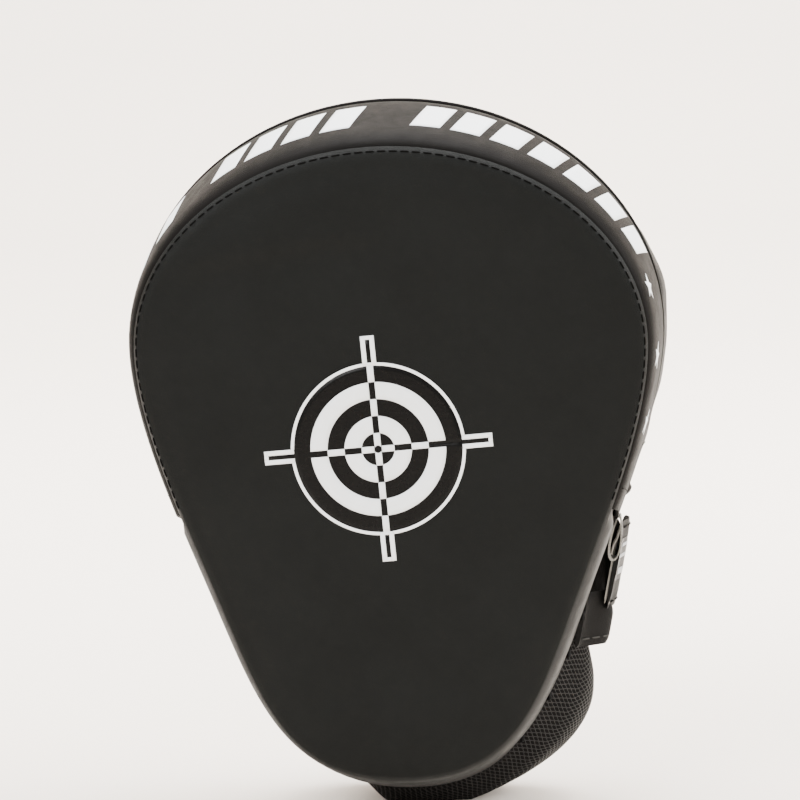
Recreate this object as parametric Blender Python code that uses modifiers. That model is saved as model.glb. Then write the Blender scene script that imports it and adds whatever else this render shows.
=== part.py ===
"""Focus mitt: a padded boxing target worn on the hand, modelled as its separate sewn pieces.

Frame: +Z points to the fingertips, -Y is the way the striking face looks, +X is the wearer's
thumb side. The origin is the middle of the flat that the mitt stands on, under the wrist cuff.
Sizes below are in millimetres. A place is (across, depth, height): across from the middle plane,
depth behind the striking face, and height above the middle of the pad.
"""

import math

import bmesh
import bpy
import numpy as np
from mathutils import Vector
from mathutils.geometry import interpolate_bezier

MM = 0.001
GAP = 0.4

# The flat under the cuff is the origin.
STAND_DEPTH = 70.0
STAND_HEIGHT = -155.0

# Pad: the egg-shaped outline at each depth, as half width, top and bottom.
WIDEST_HEIGHT = 38.0
SIDE_HEIGHT = -60.0
SIDE_NARROWING = 28.0
PAD_DEPTHS = (0.0, 1.2, 3.5, 8.0, 25.0, 49.0)
PAD_HALF_WIDTHS = (92.5, 95.0, 96.8, 99.0, 101.0, 102.5)
PAD_TOPS = (108.5, 111.0, 113.5, 116.5, 121.5, 127.0)
PAD_BOTTOMS = (-125.0, -128.0, -130.5, -132.5, -139.0, -146.0)
LEATHER = 1.6
SEAM_DEPTH = 3.5
WALL_DEPTH = 49.0
BAND_END_HEIGHT = -28.0

# Layers inside the pad: first depth and last depth.
IMPACT_FOAM = (2.2, 16.0)
CORE_FOAM = (16.4, 42.0)
BACKER_BOARD = (42.4, 45.4)
BACK_COVER = (45.8, 47.4)

# Printed target: a ring with four arms, turned a little on the pad.
TARGET_ACROSS = -5.0
TARGET_TURN = 4.0
TARGET_RADIUS = 33.0
TARGET_ARM = 43.2
TARGET_ARM_HALF_WIDTH = 2.6
TARGET_THICK = 0.35

# Hand pocket: a dome over the fingers, open at the wrist side.
HOOD_DEPTHS = (47.9, 53.0, 60.0, 70.0, 82.0, 91.0, 96.0)
HOOD_HALF_WIDTHS = (97.4, 98.4, 102.6, 104.0, 98.0, 84.0, 62.0)
HOOD_TOPS = (121.5, 121.5, 121.0, 117.5, 108.0, 93.0, 70.0)
HOOD_MOUTH = -29.0
HOOD_PADDING = (2.6, 5.2)
HOOD_LINING = (11.0, 1.0)

# Finger and thumb sleeves: arches sewn on the back cover.
SLEEVE_PITCH = 24.0
SLEEVE_RADIUS = 11.0
SLEEVE_LEG = 9.0
SLEEVE_LENGTH = 30.0
SLEEVE_HEIGHT = 68.0
SLEEVE_WALL = 1.6
THUMB_RADIUS = 13.5
THUMB_ACROSS = 63.0
THUMB_HEIGHT = 24.0
THUMB_TURN = -20.0
GRIP_SIZE = (33.0, 17.0, 15.0)
GRIP_HEIGHT = 4.0

# Wrist cuff: a wedge-shaped cushion sewn to the pad's back edge. Each section is its depth,
# top, half width at the top, half width of the bulge, bottom, and half width of the foot.
CUFF_SECTIONS = (
    (49.6, -66.0, 66.0, 64.0, -145.5, 36.0),
    (54.0, -69.0, 67.0, 70.0, -151.0, 38.0),
    (61.0, -82.0, 67.0, 80.0, -158.0, 40.0),
    (72.0, -94.5, 66.0, 83.0, -158.5, 40.0),
    (81.0, -104.0, 62.0, 77.0, -158.0, 38.0),
    (90.0, -114.0, 52.0, 62.0, -149.0, 30.0),
)
CUFF_BULGE_SHARE = 0.48
CUFF_SKIN = 1.5
CUFF_FILLING_INSET = 3.6

# Bar tacks between the pad's lower edge and the cuff.
TACK_SIZE = (1.6, 4.4, 3.0)
TACK_DEPTH = 45.6
TACK_HEIGHTS = (-77.0, -92.0, -109.0, -126.0)

# Wrist strap: an arch behind the wrist. It leans inward as it goes down, more so on the
# little-finger side, where it is sewn to the pad's edge.
STRAP_TOP = -43.0
STRAP_BOTTOM = -91.0
STRAP_MIDDLE = -67.0
STRAP_THUMB_SIDE = (85.5, 0.20)
STRAP_LITTLE_SIDE = (75.0, 0.40)
STRAP_FOOT_DEPTH = 49.8
STRAP_REACH = 60.0
STRAP_THICK = 2.6
ANCHOR_FOOT_TOP = -70.0
STRAP_HINGE = -0.71
TAB_HINGE = 0.81
TAB_END = 0.93
TAB_THICK = 1.8

# Loop of lining tape at the tab's free edge: its middle, first and last depth, half width,
# length and tape thickness.
LOOP_MIDDLE = (82.3, -53.5)
LOOP_DEPTHS = (50.2, 56.0)
LOOP_HALF_WIDTH = 2.8
LOOP_LENGTH = 19.0
LOOP_TAPE = 0.9
LOOP_TAPER = 0.42


def place(across, depth, height):
    """A point of the mitt, in metres in the row frame."""
    return Vector((across * MM, (depth - STAND_DEPTH) * MM, (height - STAND_HEIGHT) * MM))


def clear_scene():
    for obj in list(bpy.data.objects):
        bpy.data.objects.remove(obj, do_unlink=True)


def collection_named(name):
    made = bpy.data.collections.new(name)
    bpy.context.scene.collection.children.link(made)
    return made


def material(name, colour, roughness, metallic=0.0):
    made = bpy.data.materials.new(name)
    made.use_nodes = True
    shader = made.node_tree.nodes["Principled BSDF"]
    shader.inputs["Base Color"].default_value = (*colour, 1.0)
    shader.inputs["Roughness"].default_value = roughness
    shader.inputs["Metallic"].default_value = metallic
    return made


def add_object(name, mesh, finish, parent=None, smooth_angle=35.0):
    """Puts a mesh whose points are in the row frame into the scene, under its joint's empty."""
    obj = bpy.data.objects.new(name, mesh)
    PARTS.objects.link(obj)
    mesh.materials.clear()
    mesh.materials.append(finish)
    if parent is not None:
        mesh.transform(parent.matrix_world.inverted())
        obj.parent = parent
    if smooth_angle:
        mesh.shade_smooth()
        mesh.set_sharp_from_angle(angle=math.radians(smooth_angle))
    return obj


def joint_empty(name, position):
    made = bpy.data.objects.new(name, None)
    made.empty_display_size = 0.02
    made.location = position
    PARTS.objects.link(made)
    bpy.context.view_layer.update()
    return made


def mesh_from(name, points, faces):
    """A mesh from a grid of points, with its faces turned to point outwards."""
    mesh = bpy.data.meshes.new(name)
    mesh.from_pydata([tuple(p) for p in points], [], faces)
    work = bmesh.new()
    work.from_mesh(mesh)
    bmesh.ops.recalc_face_normals(work, faces=work.faces)
    work.to_mesh(mesh)
    work.free()
    return mesh


def loft(name, rings, finish, parent=None):
    """A closed solid through a row of closed rings that have the same number of points."""
    count = len(rings[0])
    points = [p for ring in rings for p in ring]
    faces = [tuple(range(count)), tuple(range(len(points) - count, len(points)))]
    for row in range(len(rings) - 1):
        for i in range(count):
            a = row * count + i
            b = row * count + (i + 1) % count
            faces.append((a, b, b + count, a + count))
    return add_object(name, mesh_from(name, points, faces), finish, parent)


def thicken(obj, thickness):
    """Gives an open surface, whose normals point outwards, a thickness on its inner side."""
    solid = obj.modifiers.new("Thickness", "SOLIDIFY")
    solid.thickness = thickness * MM
    solid.offset = -1.0
    solid.use_even_offset = True
    solid.use_quality_normals = True
    return obj


def face_outwards(mesh, centre):
    """Turns an open surface's faces away from a point inside it."""
    face = max(mesh.polygons, key=lambda f: f.area)
    if face.normal.dot(face.center - centre) < 0:
        mesh.flip_normals()


def bezier(start, handle, far_handle, end, steps):
    """Points along one Bezier stretch, without its last point."""
    corners = [Vector((x, y, 0.0)) for x, y in (start, handle, far_handle, end)]
    return [(p.x, p.y) for p in interpolate_bezier(*corners, steps + 1)[:-1]]


def egg_outline(half_width, top, bottom):
    """The pad's outline from its top round the thumb side and back, as (across, height) points."""
    round_share = 0.5523
    side = (half_width - SIDE_NARROWING, SIDE_HEIGHT)
    slope = (0.356, 0.934)
    widest = (half_width, WIDEST_HEIGHT)
    crown = bezier(
        (0.0, top),
        (round_share * half_width, top),
        (half_width, WIDEST_HEIGHT + round_share * (top - WIDEST_HEIGHT)),
        widest,
        7,
    )
    flank = bezier(
        widest,
        (half_width, WIDEST_HEIGHT - 28.0),
        (side[0] + slope[0] * 34.0, side[1] + slope[1] * 34.0),
        side,
        6,
    )
    tip = bezier(
        side,
        (side[0] - slope[0] * 42.0, side[1] - slope[1] * 42.0),
        (0.465 * half_width, bottom),
        (0.0, bottom),
        6,
    )
    half = crown + flank + tip + [(0.0, bottom)]
    return half + [(-x, z) for x, z in half[-2:0:-1]]


def pad_ring(depth, inset=0.0):
    """The pad's outline at a depth, inside its surface by inset."""
    half_width = np.interp(depth, PAD_DEPTHS, PAD_HALF_WIDTHS) - inset
    top = np.interp(depth, PAD_DEPTHS, PAD_TOPS) - inset
    bottom = np.interp(depth, PAD_DEPTHS, PAD_BOTTOMS) + inset
    return [place(x, depth, z) for x, z in egg_outline(half_width, top, bottom)]


def band_span():
    """Index of the first outline point below the border band, on the thumb side."""
    outline = egg_outline(PAD_HALF_WIDTHS[-1], PAD_TOPS[-1], PAD_BOTTOMS[-1])
    return next(i for i, (_, z) in enumerate(outline) if z < BAND_END_HEIGHT)


def make_front_cover(finish):
    """The striking face, its rounded shoulder, and below the band the whole side wall."""
    depths = [d for d in PAD_DEPTHS if d <= SEAM_DEPTH]
    wall_depths = [d for d in PAD_DEPTHS if d > SEAM_DEPTH]
    rings = [pad_ring(d) for d in depths + wall_depths]
    count = len(rings[0])
    first = band_span()
    points = [p for ring in rings for p in ring]
    faces = [tuple(range(count))]
    for row in range(len(rings) - 1):
        whole = row < len(depths) - 1
        for i in range(count):
            below_band = first <= i < count - first
            if whole or below_band:
                a = row * count + i
                b = row * count + (i + 1) % count
                faces.append((a, b, b + count, a + count))
    mesh = mesh_from("front_cover", points, faces)
    drop_loose_points(mesh)
    face_outwards(mesh, place(0, 25, 0))
    return thicken(add_object("front_cover", mesh, finish), LEATHER)


def drop_loose_points(mesh):
    work = bmesh.new()
    work.from_mesh(mesh)
    bmesh.ops.delete(work, geom=[v for v in work.verts if not v.link_faces], context="VERTS")
    work.to_mesh(mesh)
    work.free()


def upper_stretch(ring):
    """The ring's points round the top, from one end of the band to the other."""
    first = band_span()
    back = ring[-first:] + ring[: first + 1]
    back[0] = back[0].lerp(back[1], 0.08)
    back[-1] = back[-1].lerp(back[-2], 0.08)
    return back


def make_border_band(finish):
    """The wide strip round the top of the pad, from the face's seam to the back edge."""
    rows = [upper_stretch(pad_ring(d)) for d in (SEAM_DEPTH + 0.7, 8.0, 25.0, WALL_DEPTH)]
    mesh = grid_mesh("border_band", rows)
    face_outwards(mesh, place(0, 25, 0))
    return thicken(add_object("border_band", mesh, finish), LEATHER)


def grid_mesh(name, rows, cap_last=False):
    """An open surface over rows of points; cap_last closes the last row with one flat face."""
    count = len(rows[0])
    points = [p for row in rows for p in row]
    faces = []
    for row in range(len(rows) - 1):
        for i in range(count - 1):
            a = row * count + i
            faces.append((a, a + 1, a + 1 + count, a + count))
    if cap_last:
        faces.append(tuple(range(len(points) - count, len(points))))
    return mesh_from(name, points, faces)


def make_pad_layers(foam, dense_foam, board, leather):
    """The layers that fill the covers, from the face to the back."""
    for name, span, depths, inset, finish in (
        ("impact_foam", IMPACT_FOAM, (3.6, 8.0), 3.4, dense_foam),
        ("core_foam", CORE_FOAM, (25.0,), 2.6, foam),
        ("backer_board", BACKER_BOARD, (), 3.2, board),
        ("back_cover", BACK_COVER, (), 2.6, leather),
    ):
        stations = (span[0], *depths, span[1])
        loft(name, [pad_ring(d, inset) for d in stations], finish)


def tube(name, points, radius, finish, cyclic=False):
    curve = bpy.data.curves.new(name, "CURVE")
    curve.dimensions = "3D"
    curve.bevel_depth = radius * MM
    curve.bevel_resolution = 1
    curve.use_fill_caps = not cyclic
    spline = curve.splines.new("POLY")
    spline.points.add(len(points) - 1)
    spline.use_cyclic_u = cyclic
    for target, point in zip(spline.points, points):
        target.co = (*point, 1.0)
    obj = bpy.data.objects.new(name, curve)
    PARTS.objects.link(obj)
    curve.materials.append(finish)
    return obj


def make_rear_piping(finish):
    """The cord sewn into the back edge of the border band."""
    radius = 1.3
    depth = WALL_DEPTH + GAP + radius
    ring = [p + Vector((0, (depth - WALL_DEPTH) * MM, 0)) for p in pad_ring(WALL_DEPTH, 1.0)]
    return tube("rear_piping", upper_stretch(ring), radius, finish)


def flat_outline(name, outline, half_thickness, finish, location, turn):
    """A flat plate from an outline in its own XY plane. Its plane is set upright, facing -Y."""
    curve = bpy.data.curves.new(name, "CURVE")
    curve.dimensions = "2D"
    curve.fill_mode = "BOTH"
    curve.extrude = half_thickness * MM
    spline = curve.splines.new("POLY")
    spline.points.add(len(outline) - 1)
    spline.use_cyclic_u = True
    for target, (x, y) in zip(spline.points, outline):
        target.co = (x * MM, y * MM, 0.0, 1.0)
    obj = bpy.data.objects.new(name, curve)
    obj.location = location
    obj.rotation_euler = (math.radians(90.0), 0.0, 0.0)
    obj.rotation_euler.rotate_axis("Z", math.radians(turn))
    PARTS.objects.link(obj)
    curve.materials.append(finish)
    return obj


def target_outline():
    """A circle with four square-ended arms."""
    half_angle = math.asin(TARGET_ARM_HALF_WIDTH / TARGET_RADIUS)
    points = []
    for quarter in range(4):
        middle = quarter * math.pi / 2
        along = Vector((math.cos(middle), math.sin(middle)))
        across = Vector((-along.y, along.x)) * TARGET_ARM_HALF_WIDTH
        points += [tuple(along * TARGET_ARM - across), tuple(along * TARGET_ARM + across)]
        arc = np.linspace(middle + half_angle, middle + math.pi / 2 - half_angle, 9)
        points += [(TARGET_RADIUS * math.cos(a), TARGET_RADIUS * math.sin(a)) for a in arc]
    return rotated_start(points)


def rotated_start(points):
    """The same closed outline, starting at the first circle point before an arm."""
    return points[-1:] + points[:-1]


def make_target_transfer(finish):
    middle = place(TARGET_ACROSS, -GAP - TARGET_THICK / 2, 0.0)
    return flat_outline(
        "target_transfer", target_outline(), TARGET_THICK / 2, finish, middle, TARGET_TURN
    )


def hood_row(half_width, top, depth, inset):
    """One arch of the hand pocket, from mouth corner over the fingertips to mouth corner."""
    egg = egg_outline(half_width - inset, top - inset, PAD_BOTTOMS[-1])
    count = len(egg)
    right = []
    for start, end in zip(egg, egg[1 : count // 2]):
        right.append(start)
        if end[1] < HOOD_MOUTH:
            share = (start[1] - HOOD_MOUTH) / (start[1] - end[1])
            right.append((start[0] + share * (end[0] - start[0]), HOOD_MOUTH))
            break
    left = [(-x, z) for x, z in right[:0:-1]]
    return [place(x, depth, z) for x, z in left + right]


def make_hood_shell(name, inset, thickness, finish):
    """The dome of the hand pocket, or a layer inside it."""
    foot = HOOD_DEPTHS[0]
    share = 1.0 - inset / (HOOD_DEPTHS[-1] - foot)
    rows = [
        hood_row(w, t, foot + (d - foot) * share, inset)
        for d, w, t in zip(HOOD_DEPTHS, HOOD_HALF_WIDTHS, HOOD_TOPS)
    ]
    mesh = grid_mesh(name, rows, cap_last=True)
    face_outwards(mesh, place(0, foot + 10, 30))
    return thicken(add_object(name, mesh, finish), thickness)


def sleeve_outline(radius):
    """The end view of a sleeve: two legs and a half circle, with its wall thickness."""
    outer = [(radius * math.cos(a), SLEEVE_LEG + radius * math.sin(a)) for a in half_turn()]
    inner_r = radius - SLEEVE_WALL
    inner = [(inner_r * math.cos(a), SLEEVE_LEG + inner_r * math.sin(a)) for a in half_turn()]
    return [(radius, 0.0), *outer, (-radius, 0.0), (-inner_r, 0.0), *inner[::-1], (inner_r, 0.0)]


def half_turn():
    return np.linspace(0.0, math.pi, 9)


def make_sleeve(name, radius, length, across, height, turn, finish):
    """A finger or thumb sleeve, an arch that stands on the back cover along +Z."""
    curve = bpy.data.curves.new(name, "CURVE")
    curve.dimensions = "2D"
    curve.fill_mode = "BOTH"
    curve.extrude = length / 2 * MM
    outline = sleeve_outline(radius)
    spline = curve.splines.new("POLY")
    spline.points.add(len(outline) - 1)
    spline.use_cyclic_u = True
    for target, (x, y) in zip(spline.points, outline):
        target.co = (x * MM, y * MM, 0.0, 1.0)
    obj = bpy.data.objects.new(name, curve)
    obj.location = place(across, BACK_COVER[1] + GAP, height)
    obj.rotation_euler = (0.0, math.radians(-turn), 0.0)
    PARTS.objects.link(obj)
    curve.materials.append(finish)
    return obj


def make_palm_grip(finish):
    """The half-egg cushion that the hand closes round."""
    work = bmesh.new()
    bmesh.ops.create_uvsphere(work, u_segments=16, v_segments=9, radius=1.0)
    bmesh.ops.scale(work, vec=[s * MM for s in GRIP_SIZE], verts=work.verts)
    cut = bmesh.ops.bisect_plane(
        work,
        geom=work.verts[:] + work.edges[:] + work.faces[:],
        plane_co=(0.0, 0.0, 0.0),
        plane_no=(0.0, -1.0, 0.0),
        clear_outer=True,
    )
    rim = [e for e in cut["geom_cut"] if isinstance(e, bmesh.types.BMEdge)]
    bmesh.ops.contextual_create(work, geom=rim)
    bmesh.ops.recalc_face_normals(work, faces=work.faces)
    bmesh.ops.translate(
        work, vec=place(0, BACK_COVER[1] + GAP, GRIP_HEIGHT), verts=work.verts
    )
    mesh = bpy.data.meshes.new("palm_grip")
    work.to_mesh(mesh)
    work.free()
    return add_object("palm_grip", mesh, finish)


def cuff_ring(section, inset=0.0, depth=None):
    """One closed section of the cuff: a straight top edge and a full round bottom, cut flat
    at the level that the mitt stands on."""
    own_depth, top, shoulder, bulge, bottom, foot = section
    depth = own_depth if depth is None else depth
    top -= inset
    bottom += inset
    drop = CUFF_BULGE_SHARE * (top - bottom)
    half = bezier(
        (shoulder - inset, top),
        (bulge - inset, top - drop),
        (foot - inset, bottom),
        (0.0, bottom),
        8,
    )
    outline = half + [(0.0, bottom)] + [(-x, z) for x, z in half[::-1]]
    floor = STAND_HEIGHT + inset
    return [place(x, depth, max(z, floor)) for x, z in outline]


def make_cuff(foam, mesh_fabric, leather):
    """The cuff's fabric skin, its foam and the panel that closes it towards the pad."""
    rings = [cuff_ring(s) for s in CUFF_SECTIONS]
    count = len(rings[0])
    points = [p for ring in rings for p in ring]
    faces = [tuple(range(len(points) - count, len(points)))]
    for row in range(len(rings) - 1):
        for i in range(count):
            a = row * count + i
            b = row * count + (i + 1) % count
            faces.append((a, b, b + count, a + count))
    mesh = mesh_from("cuff_mesh_cover", points, faces)
    face_outwards(mesh, place(0, 65, -120))
    thicken(add_object("cuff_mesh_cover", mesh, mesh_fabric), CUFF_SKIN)
    first = CUFF_SECTIONS[0]
    inset = CUFF_FILLING_INSET
    panel = [cuff_ring(first, inset, d) for d in (first[0] + 0.2, first[0] + 1.4)]
    loft("cuff_front_panel", panel, leather)
    core = [cuff_ring(first, inset + 0.8, first[0] + 1.9)]
    core += [cuff_ring(s, inset) for s in CUFF_SECTIONS[1:-1]]
    core += [cuff_ring(CUFF_SECTIONS[-1], inset, CUFF_SECTIONS[-1][0] - inset)]
    loft("cuff_foam", core, foam)


def make_edge_tacks(finish):
    """Bar tacks that draw the front cover's lower edge to the cuff, on both sides."""
    outline = egg_outline(PAD_HALF_WIDTHS[-1], PAD_TOPS[-1], PAD_BOTTOMS[-1])
    lower = [(x, z) for x, z in outline if x > 0 and z < 0]
    for number, height in enumerate(TACK_HEIGHTS, start=1):
        across = np.interp(-height, [-z for _, z in lower], [x for x, _ in lower])
        for side_name, side in (("right", 1), ("left", -1)):
            middle = place(side * (across + TACK_SIZE[0] / 2 + 1.2), TACK_DEPTH, height)
            bpy.ops.mesh.primitive_cube_add(size=1.0, location=middle)
            tack = bpy.context.object
            tack.name = f"edge_tack_{side_name}_{number}"
            tack.scale = [s * MM for s in TACK_SIZE]
            tack.data.materials.append(finish)
            move_to_parts(tack)


def move_to_parts(obj):
    for owner in list(obj.users_collection):
        owner.objects.unlink(obj)
    PARTS.objects.link(obj)


def strap_point(share, inset, height):
    """A point on the strap's arch. Share runs from -1 at the little-finger side's foot to 1."""
    middle_width, lean = STRAP_THUMB_SIDE if share > 0 else STRAP_LITTLE_SIDE
    half_width = middle_width + (height - STRAP_MIDDLE) * lean
    angle = share * math.pi / 2
    across = (half_width - inset) * math.sin(angle)
    depth = STRAP_FOOT_DEPTH + (STRAP_REACH - inset) * math.cos(angle)
    return place(across, depth, height)


def arch_strip(name, span, inset, thickness, heights, finish, parent=None, steps=12):
    """A strip along the strap's arch. heights is (bottom, top), and each may follow the share."""
    rings = []
    for share in np.linspace(span[0], span[1], steps + 1):
        low, high = (h(share) if callable(h) else h for h in heights)
        rings.append(
            [
                strap_point(share, inset, high),
                strap_point(share, inset, low),
                strap_point(share, inset + thickness, low),
                strap_point(share, inset + thickness, high),
            ]
        )
    return loft(name, rings, finish, parent)


def anchor_top(share):
    """The anchor's top edge drops near its foot, where the tape loop is."""
    return float(np.interp(share, (0.80, 0.86), (STRAP_TOP - 2.0, ANCHOR_FOOT_TOP)))


def gusset_bottom(share):
    """The gusset's lower edge rises towards its foot, to clear the cuff's shoulder."""
    return float(np.interp(share, (-0.97, -0.9, -0.8, STRAP_HINGE), (-69.0, -75.0, -85.0, STRAP_BOTTOM)))


def make_strap(leather, lining, hook, loop, label, strap_joint, tab_joint):
    """The wrist strap, what it fastens to, and its pull tab."""
    whole = (STRAP_BOTTOM, STRAP_TOP)
    inner = (STRAP_BOTTOM + 3.0, STRAP_TOP - 3.0)
    tape = (STRAP_BOTTOM + 6.0, STRAP_TOP - 8.0)
    tab = (STRAP_BOTTOM + 15.0, STRAP_TOP)
    gusset = (gusset_bottom, STRAP_TOP)
    arch_strip("strap_gusset", (-0.97, STRAP_HINGE - 0.01), 0.0, STRAP_THICK, gusset, leather, steps=8)
    anchor = (STRAP_BOTTOM, anchor_top)
    arch_strip("strap_anchor", (0.44, 0.97), 5.4, 2.0, anchor, leather, steps=16)
    arch_strip("loop_tape", (0.46, 0.78), 4.2, 0.8, tape, loop, steps=6)
    arch_strip(
        "wrist_strap", (STRAP_HINGE, TAB_HINGE - 0.01), 0.0, STRAP_THICK, whole, leather,
        strap_joint, steps=20,
    )
    arch_strip(
        "strap_lining", (STRAP_HINGE + 0.04, 0.42), STRAP_THICK + 0.7, 1.4, inner, lining,
        strap_joint, steps=14,
    )
    arch_strip("hook_tape", (0.46, 0.78), STRAP_THICK + 0.3, 0.8, tape, hook, strap_joint, steps=6)
    arch_strip("pull_tab", (TAB_HINGE, TAB_END), 0.0, TAB_THICK, tab, leather, tab_joint, steps=4)
    arch_strip(
        "tab_lining", (TAB_HINGE + 0.01, TAB_END), TAB_THICK + 0.3, 0.7, (tab[0] + 2, tab[1] - 2),
        lining, tab_joint, steps=4,
    )
    arch_strip(
        "tab_label", (TAB_HINGE + 0.02, TAB_END - 0.02), -1.1, 0.7, (-72.0, -56.0), label,
        tab_joint, steps=3,
    )


def teardrop(inset):
    """The loop's outline, an oval drawn in at its upper end."""
    turn = np.linspace(-math.pi / 2, math.pi * 1.5, 14, endpoint=False)
    half_width = LOOP_HALF_WIDTH - inset
    half_length = LOOP_LENGTH / 2 - inset
    return [
        (half_width * math.cos(a) * (1.0 - LOOP_TAPER * max(math.sin(a), 0.0)), half_length * math.sin(a))
        for a in turn
    ]


def make_tab_loop(finish, parent):
    """The short loop of tape that the fingers pull, open towards the face."""
    middle = LOOP_MIDDLE
    rows = [
        [place(middle[0] + x, depth, middle[1] + z) for x, z in teardrop(0.0)]
        for depth in LOOP_DEPTHS
    ]
    rows = [row + row[:1] for row in rows]
    mesh = grid_mesh("tab_loop", rows)
    work = bmesh.new()
    work.from_mesh(mesh)
    bmesh.ops.remove_doubles(work, verts=work.verts, dist=0.01 * MM)
    work.to_mesh(mesh)
    work.free()
    face_outwards(mesh, place(middle[0], sum(LOOP_DEPTHS) / 2, middle[1]))
    return thicken(add_object("tab_loop", mesh, finish, parent), LOOP_TAPE)


def main():
    leather = material("black_leather", (0.016, 0.017, 0.017), 0.55)
    satin = material("satin_leather", (0.020, 0.020, 0.021), 0.35)
    mesh_fabric = material("air_mesh", (0.010, 0.010, 0.010), 0.85)
    lining = material("pale_lining", (0.42, 0.41, 0.38), 0.9)
    foam = material("soft_foam", (0.55, 0.52, 0.42), 0.95)
    dense_foam = material("dense_foam", (0.07, 0.07, 0.07), 0.9)
    board = material("backer_board", (0.75, 0.74, 0.70), 0.5)
    print_film = material("print_film", (0.85, 0.88, 0.90), 0.4)
    tape = material("fastening_tape", (0.03, 0.03, 0.03), 0.95)
    thread = material("thread", (0.01, 0.01, 0.01), 0.7)

    make_front_cover(leather)
    make_border_band(satin)
    make_rear_piping(satin)
    make_pad_layers(foam, dense_foam, board, leather)
    make_target_transfer(print_film)
    make_edge_tacks(thread)

    make_hood_shell("hood_cover", 0.0, LEATHER, leather)
    make_hood_shell("hood_padding", *HOOD_PADDING, foam)
    make_hood_shell("hood_lining", *HOOD_LINING, tape)

    for i, finger in enumerate(("little", "ring", "middle", "index")):
        across = (i - 1.5) * SLEEVE_PITCH
        make_sleeve(
            f"finger_sleeve_{finger}", SLEEVE_RADIUS, SLEEVE_LENGTH, across, SLEEVE_HEIGHT, 0.0, leather
        )
    make_sleeve(
        "thumb_sleeve", THUMB_RADIUS, SLEEVE_LENGTH, THUMB_ACROSS, THUMB_HEIGHT, THUMB_TURN, leather
    )
    make_palm_grip(leather)

    make_cuff(foam, mesh_fabric, leather)

    strap_joint = joint_empty("strap_joint", strap_point(STRAP_HINGE, 0.0, STRAP_MIDDLE))
    tab_joint = joint_empty("tab_joint", strap_point(TAB_HINGE, 0.0, STRAP_MIDDLE))
    make_strap(leather, lining, tape, tape, print_film, strap_joint, tab_joint)
    make_tab_loop(lining, tab_joint)


clear_scene()
PARTS = collection_named("focus_mitt")
main()
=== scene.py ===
"""Looks of the focus mitt: leather, mesh, foam, print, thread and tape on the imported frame.

Sizes are in millimetres. A place is (across, depth, height): across from the middle plane,
depth behind the striking face, and height above the middle of the pad.
"""

import math

import bmesh
import bpy
import numpy as np
from mathutils import Matrix, Vector


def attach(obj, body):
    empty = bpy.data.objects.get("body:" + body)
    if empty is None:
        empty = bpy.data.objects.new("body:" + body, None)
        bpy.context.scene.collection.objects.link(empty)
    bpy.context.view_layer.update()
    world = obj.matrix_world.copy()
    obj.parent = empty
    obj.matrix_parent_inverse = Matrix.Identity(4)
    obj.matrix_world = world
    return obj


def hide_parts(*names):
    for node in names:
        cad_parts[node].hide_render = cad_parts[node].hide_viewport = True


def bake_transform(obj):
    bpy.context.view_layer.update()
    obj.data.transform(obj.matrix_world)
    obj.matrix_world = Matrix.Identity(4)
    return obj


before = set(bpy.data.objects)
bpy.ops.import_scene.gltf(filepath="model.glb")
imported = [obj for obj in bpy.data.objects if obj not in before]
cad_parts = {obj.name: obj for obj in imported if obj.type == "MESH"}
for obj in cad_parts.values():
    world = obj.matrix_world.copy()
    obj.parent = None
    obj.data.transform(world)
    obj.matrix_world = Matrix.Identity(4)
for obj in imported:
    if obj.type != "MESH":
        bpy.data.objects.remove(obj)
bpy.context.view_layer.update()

MM = 0.001
STAND = np.array([0.0, 70.0, -155.0])

# Pad stations: depth, half width, top and bottom.
PAD_DEPTHS = (0.0, 1.2, 3.5, 8.0, 25.0, 49.0)
PAD_HALF_WIDTHS = (92.5, 95.0, 96.8, 99.0, 101.0, 102.5)
PAD_TOPS = (108.5, 111.0, 113.5, 116.5, 121.5, 127.0)
PAD_BOTTOMS = (-125.0, -128.0, -130.5, -132.5, -139.0, -146.0)
WIDEST_HEIGHT = 38.0
SIDE_HEIGHT = -60.0
SIDE_NARROWING = 28.0
OUTLINE_STEPS = 26
SEAM_DEPTH = 3.5
WALL_DEPTH = 49.0
FACE_CROWN = 1.2
LEATHER = 1.5
BAND_END_FRONT = -24.4
BAND_END_BACK = -38.0
BACK_COVER_DEPTH = 47.4

# Hand pocket stations: depth, half width and top.
HOOD_DEPTHS = (47.9, 53.0, 60.0, 70.0, 82.0, 91.0, 96.0)
HOOD_HALF_WIDTHS = (97.4, 98.4, 102.6, 104.0, 98.0, 84.0, 62.0)
HOOD_TOPS = (121.5, 121.5, 121.0, 117.5, 108.0, 93.0, 70.0)
HOOD_MOUTH = -29.0

# Strap arch: half width at the middle height and lean, on the thumb side and the other side.
STRAP_TOP = -43.0
STRAP_BOTTOM = -91.0
STRAP_MIDDLE = -67.0
THUMB_SIDE = (85.5, 0.20)
LITTLE_SIDE = (75.0, 0.40)
STRAP_FOOT_DEPTH = 49.8
STRAP_REACH = 60.0
STRAP_HINGE = -0.71
TAB_HINGE = 0.81

CUFF_SECTIONS = ((49.6, -66.0, 66.0, 64.0, -145.5, 36.0), (54.0, -69.0, 67.0, 70.0, -151.0, 38.0),
    (61.0, -82.0, 67.0, 82.0, -158.0, 40.0), (72.0, -94.5, 66.0, 87.0, -158.5, 40.0),
    (81.0, -104.0, 62.0, 80.0, -158.0, 38.0), (90.0, -114.0, 52.0, 62.0, -149.0, 30.0),)
CUFF_LITTLE_SIDE_SLIM = 0.15
CUFF_LITTLE_SIDE_BOTTOM = -144.0
TACK_HEIGHTS = (-77.0, -92.0, -109.0, -126.0)


# Curves and outlines.


def row_frame(places):
    """Places in the mitt's millimetres as points of the row frame, in metres."""
    return (np.asarray(places, float) - STAND) * MM


def smooth(low, high, value):
    t = np.clip((value - low) / (high - low), 0.0, 1.0)
    return t * t * (3.0 - 2.0 * t)


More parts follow.
